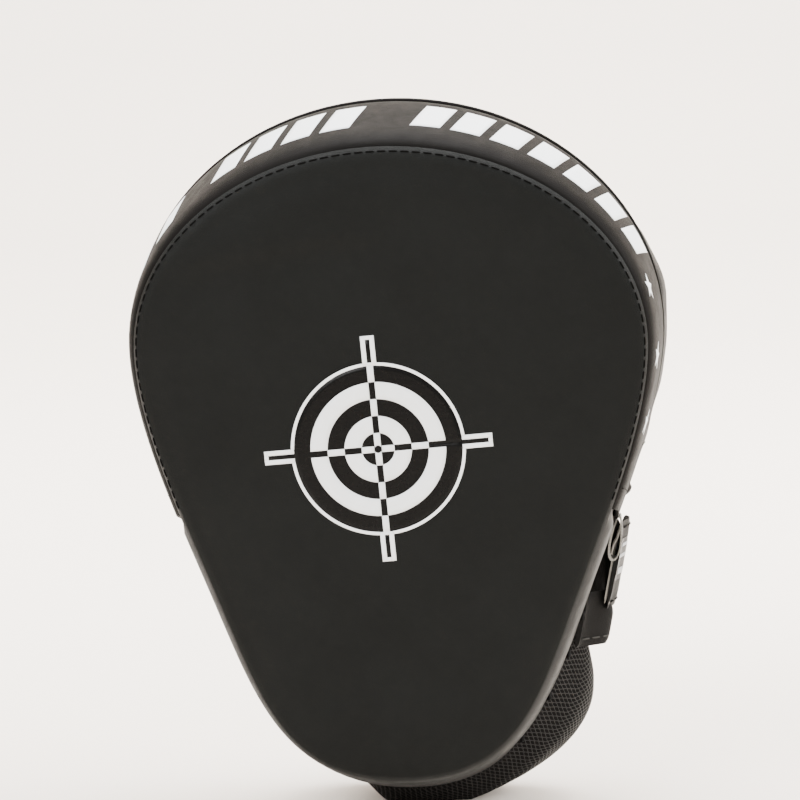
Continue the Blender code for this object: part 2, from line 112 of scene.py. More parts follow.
def track(x, stations, values):
    """A smooth curve through the stations that never overshoots them."""
    xs, ys = np.asarray(stations, float), np.asarray(values, float)
    rise = np.diff(ys) / np.diff(xs)
    both = rise[1:] * rise[:-1]
    total = rise[1:] + rise[:-1]
    middle = np.where(both > 0, 2 * both / np.where(total == 0, 1, total), 0.0)
    slope = np.concatenate([rise[:1], middle, rise[-1:]])
    i = int(np.clip(np.searchsorted(xs, x) - 1, 0, len(xs) - 2))
    step = xs[i + 1] - xs[i]
    t = float(np.clip((x - xs[i]) / step, 0.0, 1.0))
    start = (1 + 2 * t) * (1 - t) ** 2 * ys[i] + t * (1 - t) ** 2 * step * slope[i]
    end = t * t * (3 - 2 * t) * ys[i + 1] - t * t * (1 - t) * step * slope[i + 1]
    return start + end


def bezier(a, b, c, d, steps):
    """Points along one Bezier stretch, without its last point."""
    t = np.linspace(0.0, 1.0, steps, endpoint=False)[:, None]
    a, b, c, d = (np.array(p, float) for p in (a, b, c, d))
    return a * (1 - t) ** 3 + 3 * b * t * (1 - t) ** 2 + 3 * c * t * t * (1 - t) + d * t**3


def egg(half_width, top, bottom, steps=OUTLINE_STEPS):
    """The pad's outline from its top round the thumb side and back, as (across, height)."""
    side = np.array([half_width - SIDE_NARROWING, SIDE_HEIGHT])
    slope = np.array([0.356, 0.934])
    widest = (half_width, WIDEST_HEIGHT)
    round_share = 0.5523
    half = np.concatenate([bezier((0.0, top), (round_share * half_width, top),
        (half_width, WIDEST_HEIGHT + round_share * (top - WIDEST_HEIGHT)), widest, steps,),
        bezier(widest, (half_width, WIDEST_HEIGHT - 28.0), side + slope * 34.0, side, steps),
        bezier(side, side - slope * 42.0, (0.465 * half_width, bottom), (0.0, bottom), steps),
        [(0.0, bottom)],])
    return np.concatenate([half, (half[1:-1] * (-1, 1))[::-1]])


def at_depth(outline, depth):
    """An (across, height) outline as places at a depth, or at each point's own depth."""
    depths = np.broadcast_to(depth, len(outline))
    return np.stack([outline[:, 0], depths, outline[:, 1]], -1)


def pad_outline(depth, inset=0.0):
    half_width = track(depth, PAD_DEPTHS, PAD_HALF_WIDTHS) - inset
    top = track(depth, PAD_DEPTHS, PAD_TOPS) - inset
    bottom = track(depth, PAD_DEPTHS, PAD_BOTTOMS) + inset
    return egg(half_width, top, bottom)


def along_line(points):
    """How far along the line each of its points lies."""
    return np.concatenate([[0.0], np.cumsum(np.linalg.norm(np.diff(points, axis=0), axis=1))])


def resampled(points, count):
    """The same open line with evenly spaced points."""
    points = np.asarray(points, float)
    along = along_line(points)
    wanted = np.linspace(0.0, along[-1], count)
    return np.stack([np.interp(wanted, along, points[:, k]) for k in range(points.shape[1])], -1)


def over_the_top(outline, height, count):
    """The outline's stretch above a height, from the little-finger side to the thumb side."""
    half = outline[: len(outline) // 2 + 1]
    first = int(np.argmax(half[:, 1] < height))
    a, b = half[first - 1], half[first]
    end = a + (b - a) * (a[1] - height) / (a[1] - b[1])
    right = np.concatenate([half[:first], [end]])
    left = (right[1:] * (-1, 1))[::-1]
    return resampled(np.concatenate([left, right]), count)


# Mesh helpers.


def mesh_of(name, points, faces):
    """A mesh from places in the mitt's millimetres."""
    mesh = bpy.data.meshes.new(name)
    mesh.from_pydata([tuple(p) for p in row_frame(points)], [], faces)
    return mesh


def outward(mesh, centre=None):
    """Makes a surface's faces agree, and turns them away from a place inside it."""
    work = bmesh.new()
    work.from_mesh(mesh)
    bmesh.ops.recalc_face_normals(work, faces=work.faces)
    if centre is not None:
        middle = Vector(row_frame(centre))
        votes = sum(f.calc_area() * f.normal.dot(f.calc_center_median() - middle) for f in work.faces)
        if votes < 0:
            bmesh.ops.reverse_faces(work, faces=work.faces)
    work.to_mesh(mesh)
    work.free()


def piece(name, mesh, finish, body="pad", nodes=(), slot="black_leather", angle=40.0):
    """Puts a mesh in the scene with its material, its body and its nodes. The slot is not used."""
    obj = bpy.data.objects.new(f"mitt_{name}", mesh)
    bpy.context.scene.collection.objects.link(obj)
    mesh.materials.append(finish)
    mesh.shade_smooth()
    if angle:
        mesh.set_sharp_from_angle(angle=math.radians(angle))
    if body:
        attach(obj, body)
    if nodes:
        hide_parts(*nodes)
    return obj


def grid(name, rows, closed=False, keep=None, caps=(), centre=None):
    """A surface over rows of places. UVs are lengths in metres along and across the rows."""
    rows = [np.asarray(row, float) for row in rows]
    count = len(rows[0])
    width = count if closed else count - 1
    faces = []
    for r in range(len(rows) - 1):
        for c in range(width):
            if keep is None or keep(r, c):
                a, b = r * count + c, r * count + (c + 1) % count
                faces.append((a, b, b + count, a + count))
    faces += [tuple(range(r * count, r * count + count)) for r in (x % len(rows) for x in caps)]
    mesh = mesh_of(name, np.concatenate(rows), faces)
    along = [along_line(row) for row in rows]
    steps = [np.linalg.norm(b - a, axis=1).mean() for a, b in zip(rows, rows[1:])]
    across = np.concatenate([[0], np.cumsum(steps)])
    uvs = mesh.uv_layers.new(name="cloth").data
    middle = [a[-1] / 2 for a in along]
    for loop, uv in zip(mesh.loops, uvs):
        r, c = divmod(loop.vertex_index, count)
        uv.uv = ((along[r][c] - middle[r]) * MM, across[r] * MM)
    work = bmesh.new()
    work.from_mesh(mesh)
    bmesh.ops.delete(work, geom=[v for v in work.verts if not v.link_faces], context="VERTS")
    bmesh.ops.remove_doubles(work, verts=work.verts, dist=1e-6)
    work.to_mesh(mesh)
    work.free()
    if centre is not None:
        outward(mesh, centre)
    return mesh


def thicken(obj, thickness, offset=-1.0):
    solid = obj.modifiers.new("Thickness", "SOLIDIFY")
    solid.thickness = thickness * MM
    solid.offset = offset
    return obj


def tube_rows(path, radii, sides=10, up=(0.0, 0.0, 1.0)):
    """Rings round a path. radii is (across, up) or one pair for each point."""
    path = np.asarray(path, float)
    tangent = np.gradient(path, axis=0)
    tangent /= np.linalg.norm(tangent, axis=1)[:, None]
    side = np.cross(tangent, np.asarray(up, float))
    side /= np.linalg.norm(side, axis=1)[:, None]
    top = np.cross(side, tangent)
    radii = np.broadcast_to(np.asarray(radii, float), (len(path), 2))
    angles = np.linspace(0, 2 * math.pi, sides, endpoint=False)
    return [p + np.outer(np.cos(angles) * r[0], s) + np.outer(np.sin(angles) * r[1], t)
        for p, s, t, r in zip(path, side, top, radii)]


def tube(name, path, radii, finish, sides=10, up=(0.0, 0.0, 1.0), **options):
    rows = tube_rows(path, radii, sides, up)
    mesh = grid(name, rows, closed=True, caps=(0, -1), centre=path[len(path) // 2])
    return piece(name, mesh, finish, **options)


def dashes(name, paths, finish, length=3.2, gap=1.1, radius=0.36, **options):
    """Sewing thread: short rounded dashes laid along each path."""
    profile = ((0.0, 0.35), (0.1, 0.85), (0.3, 1.0), (0.7, 1.0), (0.9, 0.85), (1.0, 0.35))
    points, faces = [], []
    sides = 6
    for path in paths:
        path = np.asarray(path, float)
        total = np.linalg.norm(np.diff(path, axis=0), axis=1).sum()
        count = max(1, int(total / (length + gap)))
        marks = resampled(path, count * 4 + 1)
        for k in range(count):
            a, b = marks[4 * k], marks[4 * k + 3]
            line = np.array([a + (b - a) * share for share, _ in profile])
            size = np.array([[swell * radius] * 2 for _, swell in profile])
            up = (0.0, 0.0, 1.0) if abs((b - a)[2]) < 0.9 * np.linalg.norm(b - a) else (0.0, 1.0, 0.0)
            rings = tube_rows(line, size, sides, up)
            base = len(points)
            points += [p for ring in rings for p in ring]
            for r in range(len(rings) - 1):
                for c in range(sides):
                    i, j = base + r * sides + c, base + r * sides + (c + 1) % sides
                    faces.append((i, j, j + sides, i + sides))
            last = base + (len(rings) - 1) * sides
            faces += [tuple(range(base, base + sides)), tuple(range(last, last + sides))]
    mesh = mesh_of(name, points, faces)
    outward(mesh)
    return piece(name, mesh, finish, slot="thread", angle=0, **options)


# Materials.


class Nodes:
    """A material's node tree, with short calls for what the finishes below need."""

    def __init__(self, name, colour, roughness):
        self.material = bpy.data.materials.new(name)
        self.material.use_nodes = True
        self.tree = self.material.node_tree
        self.shader = self.tree.nodes["Principled BSDF"]
        self.shader.inputs["Base Color"].default_value = (*colour, 1.0)
        self.shader.inputs["Roughness"].default_value = roughness
        self.coordinates = self.tree.nodes.new("ShaderNodeTexCoord")
        self.height = None

    def set(self, **values):
        for name, value in values.items():
            self.shader.inputs[name.replace("_", " ")].default_value = value
        return self

    def link(self, source, target):
        self.tree.links.new(source, target)

    def math(self, operation, a, b=0.0, clamp=False):
        node = self.tree.nodes.new("ShaderNodeMath")
        node.operation = operation
        node.use_clamp = clamp
        for socket, value in zip(node.inputs, (a, b)):
            if isinstance(value, (int, float)):
                socket.default_value = value
            else:
                self.link(value, socket)
        return node.outputs[0]

    def noise(self, scale, detail=2.0, roughness=0.5):
        node = self.tree.nodes.new("ShaderNodeTexNoise")
        node.inputs["Scale"].default_value = scale
        node.inputs["Detail"].default_value = detail
        node.inputs["Roughness"].default_value = roughness
        self.link(self.coordinates.outputs["Object"], node.inputs["Vector"])
        return node.outputs["Fac"]

    def cells(self, scale, feature="DISTANCE_TO_EDGE"):
        node = self.tree.nodes.new("ShaderNodeTexVoronoi")
        node.feature = feature
        node.inputs["Scale"].default_value = scale
        self.link(self.coordinates.outputs["Object"], node.inputs["Vector"])
        return node.outputs["Distance"]

    def uv(self):
        node = self.tree.nodes.new("ShaderNodeSeparateXYZ")
        self.link(self.coordinates.outputs["UV"], node.inputs[0])
        return node.outputs[0], node.outputs[1]

    def spread(self, value, low, high, out_low, out_high):
        node = self.tree.nodes.new("ShaderNodeMapRange")
        for socket, number in zip(node.inputs[1:5], (low, high, out_low, out_high)):
            socket.default_value = number
        self.link(value, node.inputs[0])
        return node.outputs[0]

    def tint(self, value, dark, light):
        node = self.tree.nodes.new("ShaderNodeValToRGB")
        node.color_ramp.elements[0].color = (*dark, 1.0)
        node.color_ramp.elements[1].color = (*light, 1.0)
        self.link(value, node.inputs[0])
        self.link(node.outputs[0], self.shader.inputs["Base Color"])
        return self

    def rough(self, value):
        self.link(value, self.shader.inputs["Roughness"])
        return self

    def bump(self, value, distance, strength=1.0):
        node = self.tree.nodes.new("ShaderNodeBump")
        node.inputs["Distance"].default_value = distance * MM
        node.inputs["Strength"].default_value = strength
        self.link(value, node.inputs["Height"])
        if self.height is not None:
            self.link(self.height, node.inputs["Normal"])
        self.height = node.outputs[0]
        self.link(self.height, self.shader.inputs["Normal"])
        return self


def shade(colour, factor):
    return tuple(c * factor for c in colour)


def leather(name, colour, roughness, grain=0.05, cell=1100.0, specular=0.5):
    n = Nodes(name, colour, roughness)
    n.set(Specular_IOR_Level=specular)
    mottle = n.noise(28.0, 4.0, 0.6)
    n.tint(n.spread(mottle, 0.3, 0.7, 0.0, 1.0), shade(colour, 0.86), shade(colour, 1.16))
    wear = n.noise(160.0, 3.0, 0.6)
    n.rough(n.spread(wear, 0.3, 0.7, roughness - 0.05, roughness + 0.06))
    n.bump(n.spread(n.cells(cell), 0.0, 0.12, 0.0, 1.0), grain)
    n.bump(n.noise(420.0, 3.0, 0.6), grain * 1.6)
    n.bump(n.noise(34.0, 2.0, 0.5), 0.35)
    return n.material


def air_mesh(name):
    """Spacer mesh: a diamond net of threads about 2 mm across, over a dark backing, with painted shade in the
    holes.
    """
    n = Nodes(name, (0.02, 0.02, 0.02), 0.7)
    n.set(Specular_IOR_Level=0.15)
    u, v = n.uv()
    v = n.math("MULTIPLY", v, 0.6)
    pitch = math.pi / (2.1 * MM)
    first = n.math("ABSOLUTE", n.math("SINE", n.math("MULTIPLY", n.math("ADD", u, v), pitch)))
    other = n.math("ABSOLUTE", n.math("SINE", n.math("MULTIPLY", n.math("SUBTRACT", u, v), pitch)))
    hole = n.math("MULTIPLY", first, other)
    thread = n.spread(hole, 0.10, 0.42, 1.0, 0.0)
    fibre = n.math("MULTIPLY", thread, n.spread(n.noise(2600.0, 2.0), 0.3, 0.7, 0.75, 1.0))
    # The holes get the near-black colour: partly the dark backing, partly painted shade inside the holes.
    n.tint(fibre, (0.0008, 0.0008, 0.0008), (0.016, 0.015, 0.0145))
    n.rough(n.spread(thread, 0.0, 1.0, 0.95, 0.55))
    n.bump(thread, 0.5)
    return n.material


def cloth(name, colour, thread=0.5, sheen=0.2, roughness=0.9):
    """Woven or brushed cloth: a fine over-and-under pattern with loose fibres."""
    n = Nodes(name, colour, roughness)
    n.set(Sheen_Weight=sheen, Sheen_Roughness=0.6, Specular_IOR_Level=0.25)
    u, v = n.uv()
    pitch = math.pi / (thread * MM)
    warp = n.math("SINE", n.math("MULTIPLY", u, pitch))
    weft = n.math("SINE", n.math("MULTIPLY", v, pitch))
    weave = n.spread(n.math("MULTIPLY", warp, weft), -1.0, 1.0, 0.0, 1.0)
    fuzz = n.noise(1800.0, 3.0, 0.7)
    both = n.math("MULTIPLY", weave, n.spread(fuzz, 0.25, 0.75, 0.4, 1.0))
    n.tint(both, shade(colour, 0.62), shade(colour, 1.25))
    n.bump(both, 0.16)
    n.bump(n.noise(90.0, 3.0, 0.6), 0.4)
    return n.material


def pile(name, colour, cell):
    """Hook or loop tape: a dense field of small bumps."""
    n = Nodes(name, colour, 0.95)
    n.set(Sheen_Weight=0.04, Sheen_Roughness=0.5, Specular_IOR_Level=0.2)
    dots = n.spread(n.cells(cell, "F1"), 0.0, 0.7, 1.0, 0.0)
    n.tint(dots, shade(colour, 0.35), shade(colour, 1.3))
    n.bump(dots, 0.5)
    return n.material


def foam(name, colour):
    n = Nodes(name, colour, 0.95)
    n.set(Specular_IOR_Level=0.2)
    pores = n.spread(n.cells(900.0, "F1"), 0.1, 0.6, 0.0, 1.0)
    n.tint(pores, shade(colour, 0.6), shade(colour, 1.1))
    n.bump(pores, 0.25)
    return n.material


def board(name, colour):
    n = Nodes(name, colour, 0.6)
    n.tint(n.noise(700.0, 5.0, 0.7), shade(colour, 0.8), shade(colour, 1.1))
    n.bump(n.noise(1500.0, 3.0, 0.6), 0.05)
    return n.material


def film(name, colour, roughness, peel, specular=0.5):
    """Heat-transfer film: the leather's grain shows through as orange peel."""
    n = Nodes(name, colour, roughness)
    n.set(Specular_IOR_Level=specular)
    n.tint(n.noise(300.0, 3.0, 0.6), shade(colour, 0.94), shade(colour, 1.04))
    n.rough(n.spread(n.noise(240.0, 3.0, 0.6), 0.3, 0.7, roughness - 0.04, roughness + 0.06))
    n.bump(n.noise(620.0, 3.0, 0.65), peel)
    return n.material


def thread(name, colour):
    n = Nodes(name, colour, 0.6)
    n.set(Specular_IOR_Level=0.05)
    strand = n.noise(3200.0, 2.0, 0.5)
    n.tint(strand, shade(colour, 0.6), shade(colour, 1.3))
    n.bump(strand, 0.08)
    return n.material


def plain(name, colour, roughness):
    n = Nodes(name, colour, roughness)
    n.tint(n.noise(3.0, 2.0), shade(colour, 0.99), shade(colour, 1.01))
    return n.material


LEATHER_BLACK = leather("leather_black", (0.0038, 0.0044, 0.0042), 0.50, specular=0.09)
LEATHER_BACK = leather("leather_back", (0.0040, 0.0042, 0.0041), 0.46, specular=0.14)
LEATHER_SATIN = leather("leather_satin", (0.0044, 0.0041, 0.0038), 0.50, grain=0.03, specular=0.03)
STRAP_LEATHER = leather("strap_leather", (0.0044, 0.0044, 0.0043), 0.46, grain=0.04, specular=0.08)
AIR_MESH = air_mesh("air_mesh")
POCKET_CLOTH = cloth("pocket_cloth", (0.008, 0.008, 0.009), 0.7, sheen=0.05)
PALE_TAPE = cloth("pale_tape", (0.36, 0.35, 0.32), 0.6)
HOOK = pile("hook_tape", (0.007, 0.007, 0.0075), 1500.0)
LOOPS = pile("loop_tape", (0.010, 0.010, 0.011), 700.0)
SOFT_FOAM = foam("soft_foam", (0.55, 0.52, 0.42))
DENSE_FOAM = foam("dense_foam", (0.07, 0.07, 0.07))
FIBRE_BOARD = board("fibre_board", (0.62, 0.56, 0.46))
FILM_BLACK = film("film_black", (0.0018, 0.0018, 0.0018), 0.26, 0.10, 0.10)
FILM_WHITE = film("film_white", (0.86, 0.90, 0.93), 0.42, 0.05)
LABEL_WHITE = film("label_white", (0.30, 0.31, 0.33), 0.40, 0.03)
THREAD_BLACK = thread("thread_black", (0.0012, 0.0012, 0.0012))
THREAD_GREY = thread("thread_grey", (0.05, 0.05, 0.047))


# Pad.


def face_depth(across, height):
    """The striking face: a low crown, rolled over at its edge, with a faint crease."""
    rho = np.sqrt((across / 92.5) ** 2 + ((height + 8.0) / 117.0) ** 2)
    rho = np.minimum(rho, 1.0)
    start, end = np.array([-86.0, 66.0]), np.array([0.0, 79.0])
    along = (end - start) / np.linalg.norm(end - start)
    rel_x, rel_z = across - start[0], height - start[1]
    run = rel_x * along[0] + rel_z * along[1]
    off = rel_x * along[1] - rel_z * along[0] + 2.0 * np.sin(run / 30.0)
    fade = smooth(-6.0, 20.0, run) * (1.0 - smooth(60.0, 96.0, run))
    crease = 0.8 * fade * np.tanh(off / 2.2) * np.exp(-((off / 16.0) ** 2))
    return -FACE_CROWN * (1.0 - rho**2) + crease


def make_front_cover():
    edge = pad_outline(0.0)
    middle = np.array([0.0, 2.0])
    rows = []
    for share in np.linspace(0.03, 1.0, 44) ** 0.85:
        ring = middle + share * (edge - middle)
        roll = 0.9 * smooth(0.86, 1.0, share) ** 2
        rows.append(at_depth(ring, face_depth(ring[:, 0], ring[:, 1]) + roll))
    for depth in (1.3, 1.9, 2.7, SEAM_DEPTH):
        rows.append(at_depth(pad_outline(depth), depth))
    first_wall = len(rows)
    for depth, tuck in ((4.2, 1.2), (5.2, 2.4), (8, 2.4), (13, 2.4), (19, 2.4), (26, 2.4),
        (33, 2.4), (40, 2.4), (45, 2.4), (47.2, 2.4), (48.6, 2.4)):
        outline = pad_outline(depth)
        end = BAND_END_FRONT + (BAND_END_BACK - BAND_END_FRONT) * depth / WALL_DEPTH
        under = smooth(end - 5.0, end - 0.5, outline[:, 1])[:, None]
        ring = outline * (1 - under) + pad_outline(depth, tuck) * under
        rows.append(at_depth(ring, scalloped(ring, depth)))
    heights = edge[:, 1]
    mesh = grid("front_cover", rows, closed=True,
        keep=lambda r, c: r < first_wall + 1 or heights[c] < -8.0, caps=(0,), centre=(0, 25, 0),)
    obj = piece("front_cover", mesh, LEATHER_BLACK, nodes=["front_cover"])
    thicken(obj, LEATHER)
    return obj


def scalloped(ring, depth):
    """The wall's back edge bows forward between the tacks that hold it to the cuff."""
    marks = np.array([-62.0, *TACK_HEIGHTS, -144.0])
    heights = ring[:, 1]
    i = np.clip(np.searchsorted(-marks, -heights) - 1, 0, len(marks) - 2)
    share = np.clip((heights - marks[i]) / (marks[i + 1] - marks[i]), 0.0, 1.0)
    bow = np.sin(share * math.pi) ** 0.8 * (heights < marks[0])
    return depth - 3.4 * bow * smooth(30.0, 48.6, depth) + 0.6 * smooth(40.0, 48.6, depth)


def band_row(depth, inset, count=190):
    end = BAND_END_FRONT + (BAND_END_BACK - BAND_END_FRONT) * depth / WALL_DEPTH
    return at_depth(over_the_top(pad_outline(depth, inset), end, count), depth)


def make_band():
    depths = (4.0, 4.1, 4.5, 5.2, 6.5, 9, 13, 18, 24, 30, 36, 41, 45, 47.2, 48.4, 49.0)
    insets = (2.4, 1.3, 0.55, 0.15, -0.05, -0.25, -0.35, -0.35, -0.3, -0.3, -0.3, -0.25, -0.1, 0.2, 0.8, 1.8)
    rows = [band_row(d, i) for d, i in zip(depths, insets)]
    mesh = grid("border_band", rows, centre=(0, 25, 0))
    obj = piece("border_band", mesh, LEATHER_SATIN, nodes=["border_band"], slot="satin_leather")
    thicken(obj, LEATHER)
    bevel = obj.modifiers.new("Edges", "BEVEL")
    bevel.width = 0.5 * MM
    bevel.segments = 2
    bevel.limit_method = "ANGLE"
    bevel.angle_limit = math.radians(50.0)
    path = band_row(WALL_DEPTH + 1.9, 1.0)
    tube("rear_piping", path, (1.3, 1.3), LEATHER_SATIN, nodes=["rear_piping"],
        slot="satin_leather", up=(0, 1, 0))
    hem = [[band_row(d, -0.2)[k] for d in np.linspace(6, 46, 14)] for k in (4, -5)]
    dashes("band_hem_stitches", hem, THREAD_BLACK, radius=0.3)


def make_seam_stitches():
    """The line of sewing on the face, just inside the band's seam."""
    ring = over_the_top(pad_outline(1.9, 0.0), BAND_END_FRONT + 2.0, 260)
    dashes("seam_stitches", [at_depth(ring, 1.75)], THREAD_BLACK, length=3.3, gap=1.0, radius=0.42)


def band_place(arc, depth, lift):
    """A place on the band: arc is the length along it from the top, at its middle depth."""
    outline = pad_outline(30.0)
    half = outline[: len(outline) // 2 + 1]
    along = along_line(half)
    own = pad_outline(depth, -lift - 0.3)[: len(half)]
    index = np.interp(abs(arc), along, np.arange(len(half)))
    x = np.interp(index, np.arange(len(half)), own[:, 0]) * (1 if arc > 0 else -1)
    z = np.interp(index, np.arange(len(half)), own[:, 1])
    return (x, depth, z)


def make_band_marks():
    """Plain slanted bars and three stars, printed on the band."""
    bars = [(-121, 7), (-104, 11)] + [(-72 + 15.5 * k, 11.5) for k in range(4)]
    bars += [(9 + 15.4 * k, 11.5) for k in range(7)]
    first, last, slant = 18.0, 41.0, 5.0
    for number, (start, width) in enumerate(bars, start=1):
        rows = [[band_place(start + slant * share + width * step, first + (last - first) * share, 0.10)
            for step in np.linspace(0, 1, 7)] for share in np.linspace(0, 1, 9)]
        mesh = grid(f"band_bar_{number}", rows, centre=(0, 25, 20))
        obj = piece(f"band_bar_{number}", mesh, FILM_WHITE, slot="print_film", angle=0)
        thicken(obj, 0.12)
    for number, arc in enumerate((126.0, 153.5, 179.5), start=1):
        make_star(f"band_star_{number}", arc, 15.0, 5.4)


def make_star(name, arc, depth, radius):
    corners = []
    for k in range(10):
        reach = radius if k % 2 == 0 else radius * 0.42
        angle = math.pi * k / 5 + 0.3
        corners.append((arc + reach * math.cos(angle), depth + reach * math.sin(angle)))
    ring = [band_place(a, d, 0.10) for a, d in corners]
    inner = [band_place(arc + (a - arc) * 0.3, depth + (d - depth) * 0.3, 0.12) for a, d in corners]
    mesh = grid(name, [inner, ring], closed=True, caps=(0,), centre=(0, 25, 20))
    thicken(piece(name, mesh, FILM_WHITE, slot="print_film", angle=0), 0.12)


def make_layers():
    """The foams and boards inside the covers, and the back cover."""
    for name, depths, inset, finish, slot in (
        ("impact_foam", (2.4, 3.0, 5.0, 9.0, 15.2, 15.8), 4.0, DENSE_FOAM, "dense_foam"),
        ("core_foam", (16.6, 17.2, 25.0, 34.0, 41.2, 41.8), 3.6, SOFT_FOAM, "soft_foam"),
        ("backer_board", (42.4, 42.7, 45.0, 45.3), 4.0, FIBRE_BOARD, "backer_board"),
        ("back_cover", (46.0, 46.2, 47.0, BACK_COVER_DEPTH), 3.0, LEATHER_BACK, "black_leather"),):
        rows = []
        for k, depth in enumerate(depths):
            edge = 0.6 if k in (0, len(depths) - 1) else 0.0
            rows.append(at_depth(pad_outline(depth, inset + edge), depth))
        middle = np.array([0.0, 2.0])
        for end, outer in ((0, rows[0]), (-1, rows[-1])):
            flat = outer[:, [0, 2]]
            fan = [at_depth(middle + s * (flat - middle), depths[end]) for s in (0.66, 0.33, 0.05)]
            rows = fan[::-1] + rows if end == 0 else rows + fan
        mesh = grid(name, rows, closed=True, caps=(0, -1), centre=(0, depths[1], 0))
        obj = piece(name, mesh, finish, nodes=[name], slot=slot)


# Printed target.


TARGET_MIDDLE = (-5.0, 0.0)
TARGET_TURN = math.radians(4.0)
RING_RADII = (6.2, 12.7, 19.1, 25.6, 31.8, 33.0)
ARM_HALF = 1.2
ARM_REACH = 43.2
ARM_FRAME = 2.6
SLOT_HALF = 0.85


def on_face(points, lift):
    """Print coordinates laid on the striking face, turned a little."""
    points = np.asarray(points, float)
    c, s = math.cos(TARGET_TURN), math.sin(TARGET_TURN)
    x = TARGET_MIDDLE[0] + c * points[..., 0] - s * points[..., 1]
    z = TARGET_MIDDLE[1] + s * points[..., 0] + c * points[..., 1]
    return np.stack([x, face_depth(x, z) - lift, z], -1)


def sector(inner, outer, quarter, half):
    """A quarter of a ring that stops at a distance from the arms, as rows of points."""
    rows = []
    for radius in np.linspace(inner, outer, 4):
        gap = math.asin(min(1.0, half / radius))
        angles = np.linspace(gap, math.pi / 2 - gap, 30) + quarter * math.pi / 2
        rows.append(np.stack([radius * np.cos(angles), radius * np.sin(angles)], -1))
    return rows


def block(start, end, quarter, half, offset=0.0):
    """A stretch of an arm, from one radius to another."""
    out = np.array([math.cos(quarter * math.pi / 2), math.sin(quarter * math.pi / 2)])
    side = np.array([-out[1], out[0]])
    return [np.array([out * r + side * (offset + half * t) for t in np.linspace(-1, 1, 3)])
        for r in np.linspace(start, end, max(2, int((end - start) / 2.5)))]


def print_layer(name, patches, lift, finish, nodes=()):
    points, faces = [], []
    for rows in patches:
        count, base = len(rows[0]), len(points)
        points += list(on_face(np.concatenate(rows), lift))
        for r in range(len(rows) - 1):
            for c in range(count - 1):
                a = base + r * count + c
                faces.append((a, a + 1, a + 1 + count, a + count))
    mesh = mesh_of(name, points, faces)
    outward(mesh, (0, 60, 0))
    obj = piece(name, mesh, finish, nodes=nodes, slot="print_film", angle=0)
    return thicken(obj, 0.12)


def make_target():
    r1, r2, r3, r4, r5, r6 = RING_RADII
    disc = [np.stack([r * np.cos(a), r * np.sin(a)], -1)
        for a in [np.linspace(0, 2 * math.pi, 121)] for r in np.linspace(0.02, r5 + 0.3, 16)]
    black = [disc] + [block(r5, ARM_REACH - 1.2, q, SLOT_HALF + 0.2) for q in range(4)]
    print_layer("target_black", black, 0.16, FILM_BLACK, nodes=["target_transfer"])
    white = []
    for quarter in range(4):
        upright = quarter % 2 == 1
        white += [sector(r1, r2, quarter, ARM_HALF), sector(r3, r4, quarter, ARM_HALF)]
        white.append(sector(r5, r6, quarter, ARM_FRAME - 0.2))
        white += [block(0.2 + ARM_HALF * (not upright), r1, quarter, ARM_HALF)]
        white.append(block(r2, r3, quarter, ARM_HALF))
        if upright:
            white.append(block(r4, r5, quarter, ARM_HALF))
        rail = (ARM_FRAME - SLOT_HALF) / 2
        for side in (-1, 1):
            white.append(block(r5, ARM_REACH, quarter, rail, side * (SLOT_HALF + rail)))
        white.append(block(ARM_REACH - 1.5, ARM_REACH, quarter, SLOT_HALF))
        if upright:
            white.append(block(r5, r6, quarter, SLOT_HALF))
    print_layer("target_white", white, 0.24, FILM_WHITE)
    angles = np.linspace(0, 2 * math.pi, 33)
    dot = [np.stack([r * np.cos(angles), r * np.sin(angles)], -1) for r in (0.02, 0.7, 1.4)]
    print_layer("target_dot", [dot], 0.32, FILM_BLACK)


# Hand pocket.


def hood_rows(inset, count=120):
    """Arches of the hand pocket from the pad's edge to its back, then in to the mouth."""
    foot, last = HOOD_DEPTHS[0], HOOD_DEPTHS[-1]
    share = 1.0 - inset / (last - foot)
    rows = []
    for depth in np.concatenate([np.linspace(foot, 90.0, 22), [92, 93.6, 94.8, 95.6, last]]):
        half_width = track(depth, HOOD_DEPTHS, HOOD_HALF_WIDTHS) - inset
        top = track(depth, HOOD_DEPTHS, HOOD_TOPS) - inset
        outline = over_the_top(egg(half_width, top, PAD_BOTTOMS[-1]), HOOD_MOUTH, count)
        rows.append(at_depth(outline, foot + (depth - foot) * share))
    outer = rows[-1]
    centre = np.array([0.0, outer[0][1], HOOD_MOUTH])
    for k in range(1, 13):
        s = max(1.0 - k / 12.0, 0.004)
        row = centre + s * (outer - centre)
        row[:, 1] += 2.2 * (1.0 - s**2)
        rows.append(row)
    return rows


def dimple(rows, amount):
    """Shallow folds that run in from the sewn edge of the pocket."""
    made = []
    for row in rows:
        row = row.copy()
        angle = np.arctan2(row[:, 2] - 10.0, row[:, 0])
        near = smooth(96.0, 52.0, row[:, 1]) * smooth(HOOD_MOUTH, 10.0, row[:, 2])
        wave = np.sin(angle * 17.0 + 1.3 * np.sin(angle * 5.0)) + 0.6 * np.sin(angle * 31.0 + 2.0)
        fold = amount * near * wave * smooth(47.0, 56.0, row[:, 1])
        row[:, 0] += fold * np.cos(angle)
        row[:, 2] += fold * np.sin(angle)
        made.append(row)
    return made


